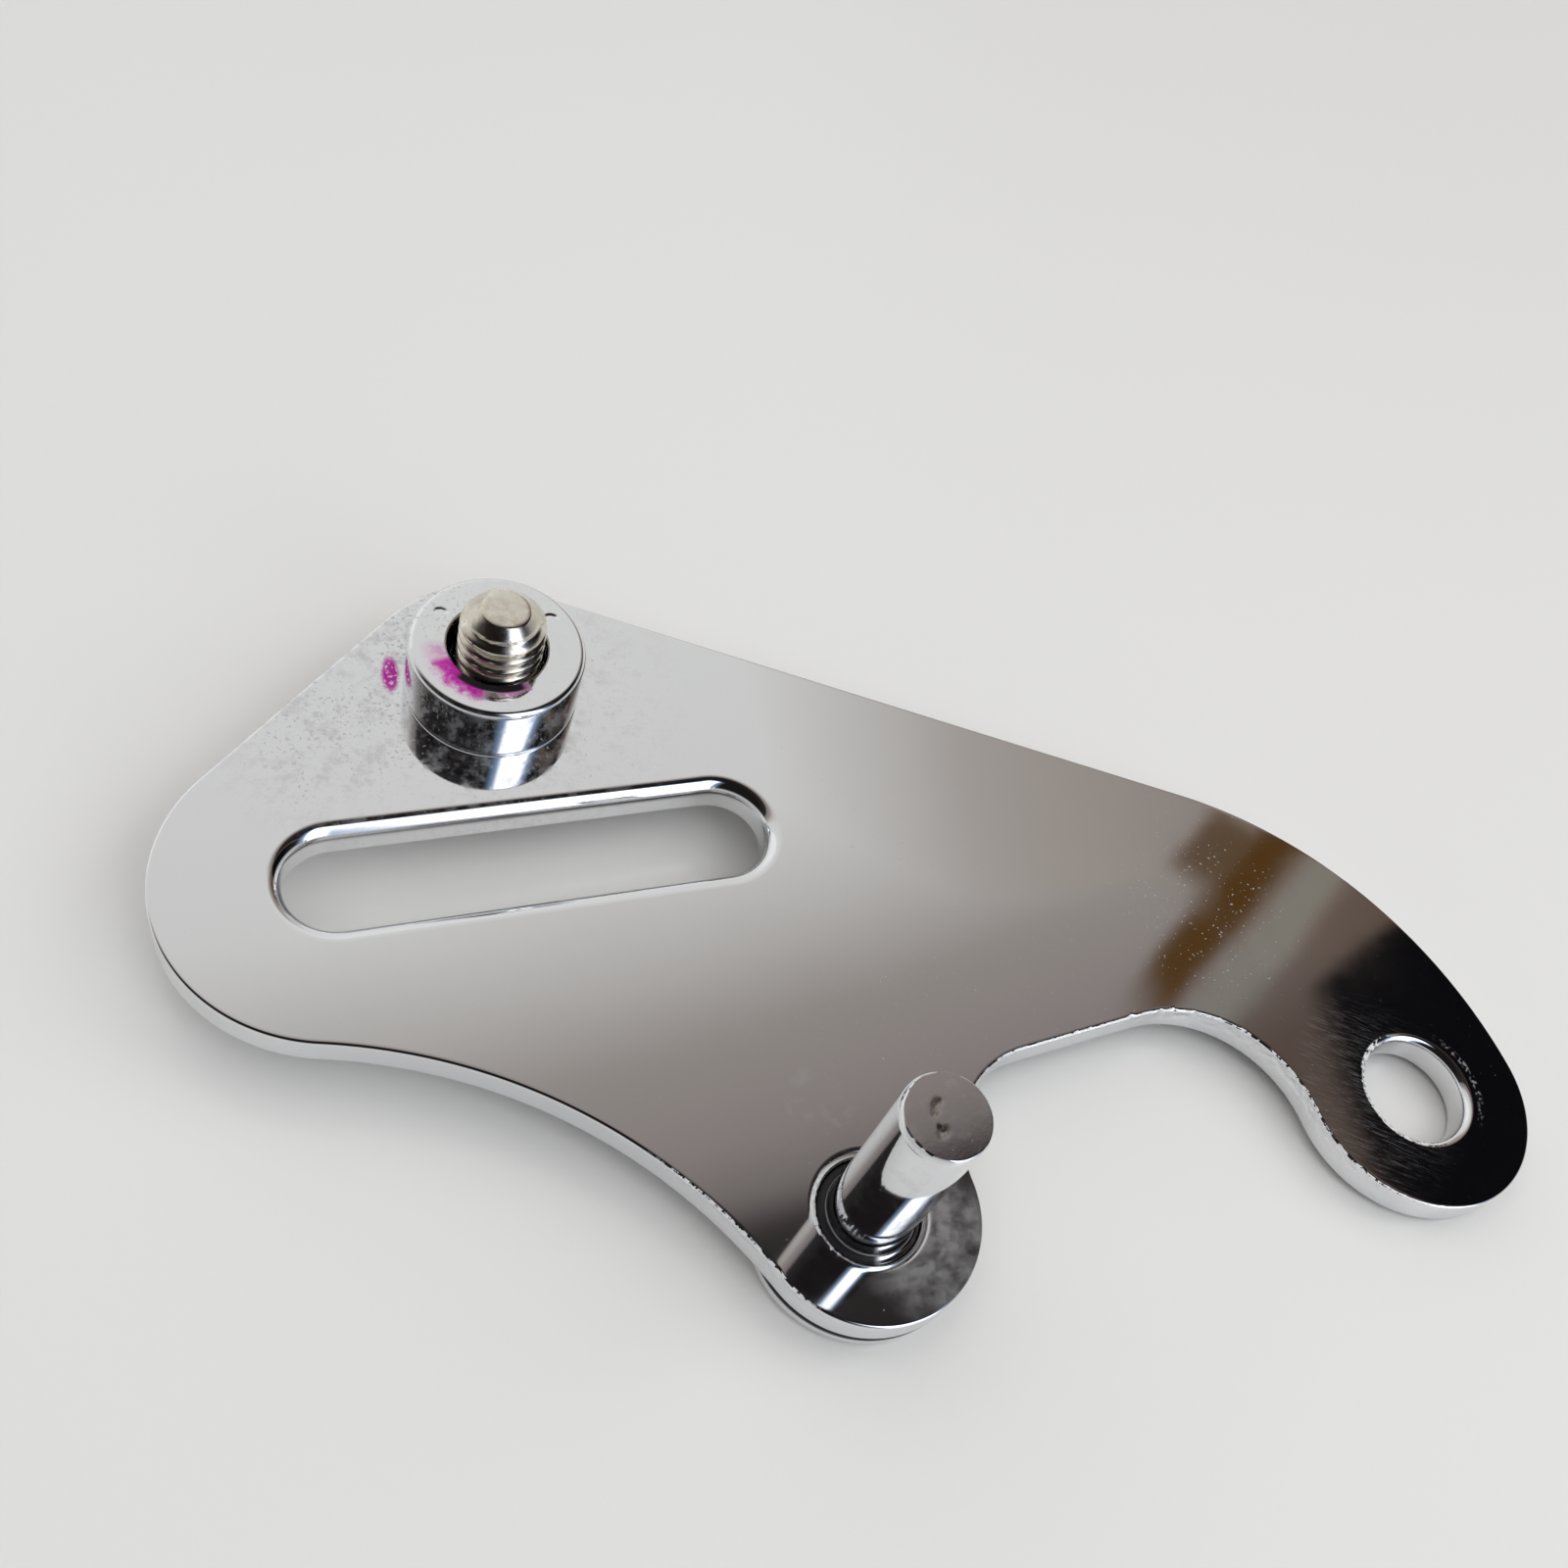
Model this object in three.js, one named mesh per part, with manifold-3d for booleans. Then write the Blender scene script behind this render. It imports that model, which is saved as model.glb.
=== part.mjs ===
// Slotted pivot bracket: a plated steel side plate with an eye, a slot, a headed pivot
// pin and a captive hex bolt that stands in a spacer ring.
//
// Millimetres, +Z up. The origin is on the pivot pin's axis, at the underside of the
// pin's head. The plate lies level, with its slot along X and its hardware towards +Z.

import * as THREE from 'three';
import { mergeVertices, toCreasedNormals } from 'three/addons/utils/BufferGeometryUtils.js';
import Module from 'manifold-3d';

// ---------------------------------------------------------------- driving dimensions

// Side plate
const plateThickness = 4.0;
const rimRound = 0.35; // rounding of the plate's other edges
const pinLobeRadius = 11.8; // round the pivot pin, at the origin
const eyeX = 68.5;
const eyeY = -0.5;
const eyeLobeRadius = 14.0;
const eyeBoreDiameter = 12.2;
const eyeMouthRound = 0.95; // rounding of the bore's upper edge
const slotMidX = -24.0;
const slotMidY = 45.5;
const slotTravel = 41.8; // between the centres of the slot's round ends
const slotWidth = 11.0;
const slotMouthRound = 1.7; // rounding of the slot's upper edge
const slotLobeRadius = 18.6; // round the slot's end that is away from the eye
const spacerY = 68.0; // the spacer stands above the middle of the slot
const spacerLobeRadius = 15.0;
const topEdgeFall = 28.2; // degrees that the long straight edge falls towards the eye
const shoulderRadius = 49.0; // from the long straight edge into the eye's lobe
const bellyRadius = 57.5; // hollow edge between the slot lobe and the pin lobe
const notchHeight = 13.7; // the notch's straight edge above the pin's axis, at X = notchX
const notchX = 28.5;
const notchRise = 4.5; // degrees that the notch's straight edge rises towards the eye
const notchPinRadius = 12.0;
const notchEyeRadius = 14.9;

// Pivot pin
const pinDiameter = 8.8;
const pinProud = 23.7; // above the plate
const pinEndChamfer = 0.5;
const pinHoleDiameter = 11.0;
const pinMouthRound = 0.85; // rounding of the hole's upper edge
const pinRunningClearance = 0.1; // all round, between the pin's collar and the plate
const pinCollarHeight = 3.15; // of the collar that centres the pin, inside the plate
const pinHeadDiameter = 23.4;
const pinHeadThickness = 2.2;
const pinHeadRound = 0.5;

// Spacer ring, with a spigot that is clinched into the plate
const spacerDiameter = 19.7;
const spacerHeight = 7.4;
const spacerRound = 0.6;
const spacerFootRound = 0.25;
const spigotWall = 1.8;
const pressClearance = 0.05; // all round, between the spigot and the plate

// Captive bolt and its washer
const boltDiameter = 9.525;
const boltSpacerClearance = 0.85; // all round, inside the spacer
const boltProud = 6.3; // above the spacer
const boltEndDiameter = 5.3;
const boltHeadAcrossFlats = 14.3;
const boltHeadHeight = 5.95;
const boltHeadChamfer = 0.9;
const washerDiameter = 19.0;
const washerThickness = 0.8;
const washerClearance = 0.45; // all round, outside the bolt
const seatGap = 0.05; // between faces that rest on each other

// How finely the round surfaces are divided
const arcSteps = 12;
const turnSteps = 48;
const roundSteps = 4;
const mouthSteps = 5;

// ---------------------------------------------------------------- levels and places

const plateBottom = pinHeadThickness + seatGap;
const plateTop = plateBottom + plateThickness;
const pinTop = plateTop + pinProud;
const spacerFoot = plateTop + seatGap;
const spacerTop = spacerFoot + spacerHeight;
const boltTop = spacerTop + boltProud;
const washerTop = plateBottom - seatGap;
const boltHeadTop = washerTop - washerThickness - seatGap;

const spacerX = slotMidX;
const spacerBoreDiameter = boltDiameter + 2 * boltSpacerClearance;
const spigotDiameter = spacerBoreDiameter + 2 * spigotWall;
const spigotHoleDiameter = spigotDiameter + 2 * pressClearance;

const pinCentre = new THREE.Vector2(0, 0);
const eyeCentre = new THREE.Vector2(eyeX, eyeY);
const slotNear = new THREE.Vector2(slotMidX + slotTravel / 2, slotMidY);
const slotFar = new THREE.Vector2(slotMidX - slotTravel / 2, slotMidY);
const spacerCentre = new THREE.Vector2(spacerX, spacerY);

// ---------------------------------------------------------------- materials

const chrome = new THREE.MeshStandardMaterial({
  color: 0xc9c8c6,
  roughness: 0.12,
  metalness: 1.0,
});
const nickel = new THREE.MeshStandardMaterial({
  color: 0xc4bfb2,
  roughness: 0.32,
  metalness: 1.0,
});

// ---------------------------------------------------------------- plane geometry

function direction(degrees) {
  const angle = THREE.MathUtils.degToRad(degrees);
  return new THREE.Vector2(Math.cos(angle), Math.sin(angle));
}

// The left-hand normal of a direction.
function leftOf(along) {
  return new THREE.Vector2(-along.y, along.x);
}

function angleTo(centre, point) {
  return Math.atan2(point.y - centre.y, point.x - centre.x);
}

function offset(point, along, distance) {
  return point.clone().addScaledVector(along, distance);
}

// The point at distance ra from a and rb from b, to the left of the line from a to b
// when side is 1, and to its right when side is -1.
function meetingPoint(a, ra, b, rb, side) {
  const span = a.distanceTo(b);
  const along = b.clone().sub(a).divideScalar(span);
  const reach = (ra * ra - rb * rb + span * span) / (2 * span);
  const rise = Math.sqrt(ra * ra - reach * reach);
  return offset(offset(a, along, reach), leftOf(along), side * rise);
}

// The point on the line through start along a direction, at a distance from centre.
// ahead is 1 for the point further along the line, and -1 for the nearer one.
function pointOnLine(start, along, centre, distance, ahead) {
  const toStart = start.clone().sub(centre);
  const shift = toStart.dot(along);
  const reach = Math.sqrt(shift * shift - toStart.lengthSq() + distance * distance);
  return offset(start, along, -shift + ahead * reach);
}

// ---------------------------------------------------------------- solids

const wasm = await Module();
wasm.setup();

function toSolid(geometry) {
  const bare = geometry.clone();
  bare.deleteAttribute('normal');
  bare.deleteAttribute('uv');
  const merged = mergeVertices(bare, 1e-4);
  return new wasm.Manifold(new wasm.Mesh({
    numProp: 3,
    vertProperties: Float32Array.from(merged.attributes.position.array),
    triVerts: Uint32Array.from(merged.index.array),
  }));
}

function toGeometry(solid) {
  const mesh = solid.getMesh();
  const geometry = new THREE.BufferGeometry();
  geometry.setAttribute('position', new THREE.BufferAttribute(mesh.vertProperties, 3));
  geometry.setIndex(new THREE.BufferAttribute(mesh.triVerts, 1));
  return toCreasedNormals(geometry, Math.PI / 6);
}

// ---------------------------------------------------------------- side plate

// The outline runs counter-clockwise from the eye. Each arc meets its neighbours at a
// common tangent.
function plateOutline() {
  const fall = direction(-topEdgeFall);
  const topNormal = leftOf(fall);
  const topStart = offset(spacerCentre, topNormal, spacerLobeRadius);
  const shoulder = pointOnLine(
    offset(topStart, topNormal, -shoulderRadius), fall,
    eyeCentre, shoulderRadius - eyeLobeRadius, -1,
  );

  const backSpan = slotFar.distanceTo(spacerCentre);
  const backAlong = spacerCentre.clone().sub(slotFar).divideScalar(backSpan);
  const taper = (slotLobeRadius - spacerLobeRadius) / backSpan;
  const backNormal = backAlong.clone().multiplyScalar(taper)
    .addScaledVector(leftOf(backAlong), Math.sqrt(1 - taper * taper));

  const belly = meetingPoint(
    slotFar, slotLobeRadius + bellyRadius,
    pinCentre, pinLobeRadius + bellyRadius, -1,
  );

  const rise = direction(notchRise);
  const notchNormal = leftOf(rise);
  const notchPoint = new THREE.Vector2(notchX, notchHeight);
  const pinFillet = pointOnLine(
    offset(notchPoint, notchNormal, -notchPinRadius), rise,
    pinCentre, pinLobeRadius + notchPinRadius, 1,
  );
  const eyeFillet = pointOnLine(
    offset(notchPoint, notchNormal, -notchEyeRadius), rise,
    eyeCentre, eyeLobeRadius + notchEyeRadius, -1,
  );

  const topAngle = Math.atan2(topNormal.y, topNormal.x);
  const backAngle = Math.atan2(backNormal.y, backNormal.x);
  const notchAngle = Math.atan2(notchNormal.y, notchNormal.x);

  const outline = new THREE.Shape();
  const arc = (centre, radius, from, to, clockwise) => {
    outline.absarc(centre.x, centre.y, radius, from, to, clockwise);
  };
  arc(eyeCentre, eyeLobeRadius, angleTo(eyeCentre, eyeFillet), angleTo(shoulder, eyeCentre), false);
  arc(shoulder, shoulderRadius, angleTo(shoulder, eyeCentre), topAngle, false);
  arc(spacerCentre, spacerLobeRadius, topAngle, backAngle, false);
  arc(slotFar, slotLobeRadius, backAngle, angleTo(slotFar, belly), false);
  arc(belly, bellyRadius, angleTo(belly, slotFar), angleTo(belly, pinCentre), true);
  arc(pinCentre, pinLobeRadius, angleTo(pinCentre, belly), angleTo(pinCentre, pinFillet), false);
  arc(pinFillet, notchPinRadius, angleTo(pinFillet, pinCentre), notchAngle, true);
  arc(eyeFillet, notchEyeRadius, notchAngle, angleTo(eyeFillet, eyeCentre), true);
  outline.closePath();
  return outline;
}

// The points of the slot's edge, clockwise, at a half-width.
function slotPoints(halfWidth) {
  const points = [];
  for (let i = 0; i <= 2 * arcSteps; i += 1) {
    points.push(offset(slotNear, direction(90 - 90 * i / arcSteps), halfWidth));
  }
  for (let i = 0; i <= 2 * arcSteps; i += 1) {
    points.push(offset(slotFar, direction(270 - 90 * i / arcSteps), halfWidth));
  }
  return points;
}

// The points of a round hole's edge, clockwise, with the same facets as a turned piece.
function roundPoints(centre, radius) {
  const points = [];
  for (let i = 0; i < turnSteps; i += 1) {
    points.push(offset(centre, direction(-360 * i / turnSteps), radius));
  }
  return points;
}

// The solid to take away from a hole's mouth, so that its upper edge is rounded.
// edge gives the hole's points at a distance outside its wall.
function mouthCutter(edge, round) {
  const rings = [];
  for (let i = 0; i <= mouthSteps; i += 1) {
    const along = direction(90 * i / mouthSteps);
    rings.push([edge(round * (1 - along.x)), plateTop - round * (1 - along.y)]);
  }
  rings.push([edge(round), plateTop + 1]);
  const count = rings[0][0].length;
  const corners = rings.flatMap(([points, height]) => points.flatMap((p) => [p.x, p.y, height]));
  const faces = [];
  for (let i = 0; i + 1 < rings.length; i += 1) {
    for (let j = 0; j < count; j += 1) {
      const k = (j + 1) % count;
      const low = i * count;
      const high = low + count;
      faces.push(low + j, high + j, low + k, low + k, high + j, high + k);
    }
  }
  const last = (rings.length - 1) * count;
  for (let j = 1; j + 1 < count; j += 1) {
    faces.push(0, j, j + 1, last, last + j + 1, last + j);
  }
  const geometry = new THREE.BufferGeometry();
  geometry.setAttribute('position', new THREE.Float32BufferAttribute(corners, 3));
  geometry.setIndex(faces);
  return toSolid(geometry);
}

function sidePlate() {
  const slotEdge = (out) => slotPoints(slotWidth / 2 + out);
  const eyeEdge = (out) => roundPoints(eyeCentre, eyeBoreDiameter / 2 + out);
  const pinEdge = (out) => roundPoints(pinCentre, pinHoleDiameter / 2 + out);
  const outline = plateOutline();
  outline.holes.push(
    new THREE.Path(eyeEdge(0)),
    new THREE.Path(pinEdge(0)),
    new THREE.Path(roundPoints(spacerCentre, spigotHoleDiameter / 2)),
    new THREE.Path(slotEdge(0)),
  );
  const blank = new THREE.ExtrudeGeometry(outline, {
    depth: plateThickness - 2 * rimRound,
    curveSegments: arcSteps,
    bevelSize: rimRound,
    bevelOffset: -rimRound,
    bevelThickness: rimRound,
    bevelSegments: 2,
  });
  blank.translate(0, 0, plateBottom + rimRound);
  const solid = toSolid(blank)
    .subtract(mouthCutter(slotEdge, slotMouthRound))
    .subtract(mouthCutter(eyeEdge, eyeMouthRound))
    .subtract(mouthCutter(pinEdge, pinMouthRound));
  return toGeometry(solid);
}

// ---------------------------------------------------------------- turned pieces

// Points of a quarter round about (x, z), from one angle in degrees to another.
function quarter(x, z, radius, from, to) {
  const points = [];
  for (let i = 0; i <= roundSteps; i += 1) {
    const along = direction(from + (to - from) * i / roundSteps);
    points.push(new THREE.Vector2(x + radius * along.x, z + radius * along.y));
  }
  return points;
}

// Turns a profile of (radius, height) points, listed upwards on its outside, about Z.
function turned(profile) {
  const geometry = new THREE.LatheGeometry(profile, turnSteps);
  geometry.rotateX(Math.PI / 2);
  return geometry;
}

function point(radius, height) {
  return new THREE.Vector2(radius, height);
}

function pivotPin() {
  const head = pinHeadDiameter / 2;
  const collar = pinHoleDiameter / 2 - pinRunningClearance;
  const shank = pinDiameter / 2;
  const collarTop = plateBottom + pinCollarHeight;
  return turned([
    point(0, 0),
    ...quarter(head - pinHeadRound, pinHeadRound, pinHeadRound, -90, 0),
    ...quarter(head - pinHeadRound, pinHeadThickness - pinHeadRound, pinHeadRound, 0, 90),
    point(collar, pinHeadThickness),
    point(collar, collarTop),
    point(shank, collarTop),
    point(shank, pinTop - pinEndChamfer),
    point(shank - pinEndChamfer, pinTop),
    point(0, pinTop),
  ]);
}

function spacerRing() {
  const bore = spacerBoreDiameter / 2;
  const spigot = spigotDiameter / 2;
  const outer = spacerDiameter / 2;
  return turned([
    point(bore, plateBottom),
    point(spigot, plateBottom),
    point(spigot, spacerFoot),
    ...quarter(outer - spacerFootRound, spacerFoot + spacerFootRound, spacerFootRound, -90, 0),
    ...quarter(outer - spacerRound, spacerTop - spacerRound, spacerRound, 0, 90),
    ...quarter(bore + spacerFootRound, spacerTop - spacerFootRound, spacerFootRound, 90, 180),
    point(bore, plateBottom),
  ]);
}

function boltWasher() {
  const inner = boltDiameter / 2 + washerClearance;
  const outer = washerDiameter / 2;
  const bottom = washerTop - washerThickness;
  return turned([
    point(inner, bottom),
    point(outer, bottom),
    point(outer, washerTop),
    point(inner, washerTop),
    point(inner, bottom),
  ]);
}

// ---------------------------------------------------------------- hex bolt

// A hexagonal prism whose lower corners are cut back by a cone.
function hexHead() {
  const corner = boltHeadAcrossFlats / Math.sqrt(3);
  const prism = new THREE.CylinderGeometry(corner, corner, boltHeadHeight, 6);
  prism.rotateX(Math.PI / 2);
  prism.translate(0, 0, boltHeadTop - boltHeadHeight / 2);
  const headBottom = boltHeadTop - boltHeadHeight;
  const limit = turned([
    point(0, headBottom - 1),
    point(corner - 2 * boltHeadChamfer, headBottom - 1),
    point(corner - 2 * boltHeadChamfer, headBottom),
    point(corner + boltHeadChamfer, headBottom + 1.5 * boltHeadChamfer),
    point(corner + boltHeadChamfer, boltHeadTop + 1),
    point(0, boltHeadTop + 1),
  ]);
  return toSolid(prism).intersect(toSolid(limit));
}

function hexBolt() {
  const radius = boltDiameter / 2;
  const end = boltEndDiameter / 2;
  const shank = turned([
    point(0, boltHeadTop - boltHeadHeight / 2),
    point(radius, boltHeadTop - boltHeadHeight / 2),
    point(radius, boltTop - (radius - end)),
    point(end, boltTop),
    point(0, boltTop),
  ]);
  return toGeometry(toSolid(shank).add(hexHead()));
}

// ---------------------------------------------------------------- assembly

function piece(name, geometry, material, centre) {
  const mesh = new THREE.Mesh(geometry, material.clone());
  mesh.name = name;
  mesh.position.set(centre.x, centre.y, 0);
  return mesh;
}

const bracket = new THREE.Group();
bracket.name = 'slotted_pivot_bracket';
bracket.add(
  piece('side_plate', sidePlate(), chrome, pinCentre),
  piece('pivot_pin', pivotPin(), chrome, pinCentre),
  piece('spacer_ring', spacerRing(), chrome, spacerCentre),
  piece('bolt_washer', boltWasher(), nickel, spacerCentre),
  piece('hex_bolt', hexBolt(), nickel, spacerCentre),
);

export default bracket;
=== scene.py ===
import math

import bmesh
import bpy
import numpy as np
from mathutils import Matrix, Vector, geometry, noise


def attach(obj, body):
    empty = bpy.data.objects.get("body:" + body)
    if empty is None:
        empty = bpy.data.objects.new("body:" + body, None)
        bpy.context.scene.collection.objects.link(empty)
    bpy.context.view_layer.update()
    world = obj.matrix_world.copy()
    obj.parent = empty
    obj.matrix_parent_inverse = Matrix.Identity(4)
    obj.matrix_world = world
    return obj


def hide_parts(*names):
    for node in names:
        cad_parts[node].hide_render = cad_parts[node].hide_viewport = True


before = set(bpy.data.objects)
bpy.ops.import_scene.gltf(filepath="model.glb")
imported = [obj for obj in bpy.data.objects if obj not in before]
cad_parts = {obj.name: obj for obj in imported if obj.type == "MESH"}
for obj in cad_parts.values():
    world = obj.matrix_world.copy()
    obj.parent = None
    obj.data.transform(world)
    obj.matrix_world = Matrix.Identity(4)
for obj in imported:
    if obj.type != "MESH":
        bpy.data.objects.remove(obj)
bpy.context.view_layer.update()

# Slotted pivot bracket: the looks of its five pieces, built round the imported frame.
# Lengths in this script are millimetres in the frame's axes, and MM turns them to metres.
MM = 0.001


# ---------------------------------------------------------------- sizes

PIN = np.array([0.0, 0.0])
EYE = np.array([68.5, -0.5])
SPACER = np.array([-24.0, 68.0])
SLOT_NEAR = np.array([-3.1, 45.5])
SLOT_FAR = np.array([-44.9, 45.5])

PLATE_BOTTOM = 2.25
PLATE_TOP = 6.25
PIN_LOBE = 11.8
EYE_LOBE = 14.0
SLOT_LOBE = 18.6
SPACER_LOBE = 15.0
SHOULDER = 49.0
BELLY = 57.5
TOP_EDGE_FALL = math.radians(28.2)
NOTCH_POINT = np.array([28.5, 13.7])
NOTCH_RISE = math.radians(4.5)
NOTCH_PIN_FILLET = 12.0
NOTCH_EYE_FILLET = 14.9
EYE_BORE = 6.1
SLOT_HALF_WIDTH = 5.5
PIN_HOLE = 5.5
SPIGOT_HOLE = 7.4625

PIN_RADIUS = 4.4
PIN_TOP = 29.95
PIN_HEAD = 11.7
PIN_HEAD_TOP = 2.2
PIN_COLLAR = 5.4
PIN_COLLAR_TOP = 5.4

SPACER_RADIUS = 9.85
SPACER_BORE = 5.6125
SPACER_SPIGOT = 7.4125
SPACER_FOOT = 6.3
SPACER_TOP = 13.7
SPACER_SHIFT = np.array([-0.25, 0.15])  # of the ring off its bolt

BOLT_RADIUS = 4.7625
BOLT_TOP = 20.0
BOLT_END = 2.65
THREAD_PITCH = 1.5875
THREAD_DEPTH = 0.92
HEAD_TOP = 1.35
HEAD_BOTTOM = -4.6
HEAD_HALF_FLATS = 7.15

WASHER_INNER = 5.2125
WASHER_OUTER = 9.5
WASHER_BOTTOM = 1.4
WASHER_TOP = 2.2

# Roundings of the plate's edges, as (width, depth).
RIM_TOP = (0.32, 0.26)
RIM_FOOT = (0.75, 0.6)
SLOT_MOUTH = (1.7, 1.7)
EYE_MOUTH = (0.95, 0.95)
PIN_MOUTH = (0.85, 0.85)
SPIGOT_MOUTH = (0.2, 0.2)
OPENING_FOOT = (0.35, 0.35)
HOLE_FOOT = (0.3, 0.3)
FLAT_MARGIN = 0.25  # flat strip beside each rounding
OUTLINE_INSET = 0.02  # keeps the outline's arcs inside the CAD outline's chords
TORN_START, TORN_END = 0.26, 2.4  # depth of the torn band below the plate's top


# ---------------------------------------------------------------- mesh tools

def make_piece(name, vertices, faces, body, node, slot, sharp):
    """A smooth mesh that stands for a CAD node and rides on its body.

    Edges sharper than sharp degrees stay sharp, or none do where it is None."""
    mesh = bpy.data.meshes.new(name)
    mesh.from_pydata([tuple(v) for v in np.asarray(vertices) * MM], [], faces)
    work = bmesh.new()
    work.from_mesh(mesh)
    bmesh.ops.remove_doubles(work, verts=work.verts, dist=2e-7)
    bmesh.ops.dissolve_degenerate(work, edges=work.edges, dist=1e-7)
    bmesh.ops.recalc_face_normals(work, faces=work.faces)
    work.to_mesh(mesh)
    work.free()
    mesh.shade_smooth()
    if sharp:
        mesh.set_sharp_from_angle(angle=math.radians(sharp))
    piece = bpy.data.objects.new(name, mesh)
    bpy.context.scene.collection.objects.link(piece)
    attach(piece, body)
    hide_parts(node)
    return piece


def strips(rows):
    """Vertices and quads of a surface through rows of points, each row a closed ring."""
    rows = np.asarray(rows)
    n_rows, n_columns = rows.shape[:2]
    faces = []
    for i in range(n_rows - 1):
        for j in range(n_columns):
            k = (j + 1) % n_columns
            a, b = i * n_columns, (i + 1) * n_columns
            faces.append((a + j, a + k, b + k, b + j))
    return rows.reshape(-1, 3), faces


def turned(profile, centre, steps):
    """Rows of a surface of revolution from (radius, height) points."""
    angles = np.arange(steps) * 2 * math.pi / steps
    rows = np.zeros((len(profile), steps, 3))
    for row, (radius, height) in zip(rows, profile):
        row[:, 0] = centre[0] + radius * np.cos(angles)
        row[:, 1] = centre[1] + radius * np.sin(angles)
        row[:, 2] = height
    return rows


def round_over(radius, height, size, start, stop, steps=6):
    """Profile points of a quarter round about (radius, height), between angles in degrees."""
    angles = np.radians(np.linspace(start, stop, steps + 1))
    return [(radius + size * math.cos(a), height + size * math.sin(a)) for a in angles]


def soft_noise(point, scale, seed=0.0):
    """Smooth noise from about -1 to 1, with features about 1/scale across."""
    return noise.noise(Vector((point[0] * scale + seed, point[1] * scale, point[2] * scale)))


def ease(x, low, high):
    """0 below low, 1 above high and a smooth step between."""
    t = np.clip((np.asarray(x, float) - low) / (high - low), 0.0, 1.0)
    return t * t * (3 - 2 * t)


# ---------------------------------------------------------------- plate outline

def direction(angle):
    return np.array([math.cos(angle), math.sin(angle)])


def left_of(along):
    return np.array([-along[1], along[0]])


def angle_to(centre, point):
    return math.atan2(point[1] - centre[1], point[0] - centre[0])


def meeting_point(a, ra, b, rb, side):
    """The point at distance ra from a and rb from b."""
    span = np.linalg.norm(b - a)
    along = (b - a) / span
    reach = (ra * ra - rb * rb + span * span) / (2 * span)
    return a + along * reach + left_of(along) * side * math.sqrt(ra * ra - reach * reach)


def point_on_line(start, along, centre, distance, ahead):
    """The point of a line at a distance from centre."""
    shift = (start - centre) @ along
    reach = math.sqrt(shift**2 - (start - centre) @ (start - centre) + distance**2)
    return start + along * (ahead * reach - shift)


def arc(centre, radius, start, stop, clockwise, step):
    """Points along an arc, its start included and its end left out."""
    sweep = (start - stop if clockwise else stop - start) % (2 * math.pi)
    count = max(3, math.ceil(radius * sweep / step))
    turn = -sweep if clockwise else sweep
    angles = start + turn * np.arange(count + 1) / count
    return np.stack([centre[0] + radius * np.cos(angles), centre[1] + radius * np.sin(angles)], 1)


def joined(stretches, step):
    """One closed loop through the stretches, with the straight gaps between them divided."""
    loop = []
    for i, stretch in enumerate(stretches):
        loop.extend(stretch)
        gap = stretches[(i + 1) % len(stretches)][0] - stretch[-1]
        length = np.linalg.norm(gap)
        if length < 0.3 * step:
            loop.pop()
            continue
        count = math.ceil(length / step)
        loop.extend(stretch[-1] + gap * k / count for k in range(1, count))
    return np.array(loop)


def plate_outline(step):
    """The plate's edge, counter-clockwise: eight tangent arcs and three straight stretches."""
    fall = direction(-TOP_EDGE_FALL)
    top_normal = left_of(fall)
    top_start = SPACER + top_normal * SPACER_LOBE
    shoulder = point_on_line(
        top_start - top_normal * SHOULDER, fall, EYE, SHOULDER - EYE_LOBE, -1)
    back = SPACER - SLOT_FAR
    back_span = np.linalg.norm(back)
    back_along = back / back_span
    taper = (SLOT_LOBE - SPACER_LOBE) / back_span
    back_normal = back_along * taper + left_of(back_along) * math.sqrt(1 - taper * taper)
    belly = meeting_point(SLOT_FAR, SLOT_LOBE + BELLY, PIN, PIN_LOBE + BELLY, -1)
    rise = direction(NOTCH_RISE)
    notch_normal = left_of(rise)
    pin_fillet = point_on_line(
        NOTCH_POINT - notch_normal * NOTCH_PIN_FILLET, rise, PIN, PIN_LOBE + NOTCH_PIN_FILLET, 1)
    eye_fillet = point_on_line(
        NOTCH_POINT - notch_normal * NOTCH_EYE_FILLET, rise, EYE, EYE_LOBE + NOTCH_EYE_FILLET, -1)
    top_angle = angle_to(PIN, top_normal)
    back_angle = angle_to(PIN, back_normal)
    notch_angle = angle_to(PIN, notch_normal)
    stretches = [
        arc(EYE, EYE_LOBE, angle_to(EYE, eye_fillet), angle_to(shoulder, EYE), False, step),
        arc(shoulder, SHOULDER, angle_to(shoulder, EYE), top_angle, False, step),
        arc(SPACER, SPACER_LOBE, top_angle, back_angle, False, step),
        arc(SLOT_FAR, SLOT_LOBE, back_angle, angle_to(SLOT_FAR, belly), False, step),
        arc(belly, BELLY, angle_to(belly, SLOT_FAR), angle_to(belly, PIN), True, step),
        arc(PIN, PIN_LOBE, angle_to(PIN, belly), angle_to(PIN, pin_fillet), False, step),
        arc(pin_fillet, NOTCH_PIN_FILLET, angle_to(pin_fillet, PIN), notch_angle, True, step),
        arc(eye_fillet, NOTCH_EYE_FILLET, notch_angle, angle_to(eye_fillet, EYE), True, step),
    ]
    return joined(stretches, step)


def hole_loop(centre, radius, step):
    loop = arc(centre, radius, 0.0, -2 * math.pi + 1e-9, True, step)
    return loop[:-1]


def slot_loop(step):
    quarter = math.pi / 2
    return joined([
        arc(SLOT_NEAR, SLOT_HALF_WIDTH, quarter, -quarter, True, step),
        arc(SLOT_FAR, SLOT_HALF_WIDTH, -quarter, quarter, True, step),
    ], step)


def outward(loop):
    """Unit normals of a closed loop, pointing out of the metal."""
    along = np.roll(loop, -1, 0) - np.roll(loop, 1, 0)
    along /= np.linalg.norm(along, axis=1)[:, None]
    return np.stack([along[:, 1], -along[:, 0]], 1)


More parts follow.
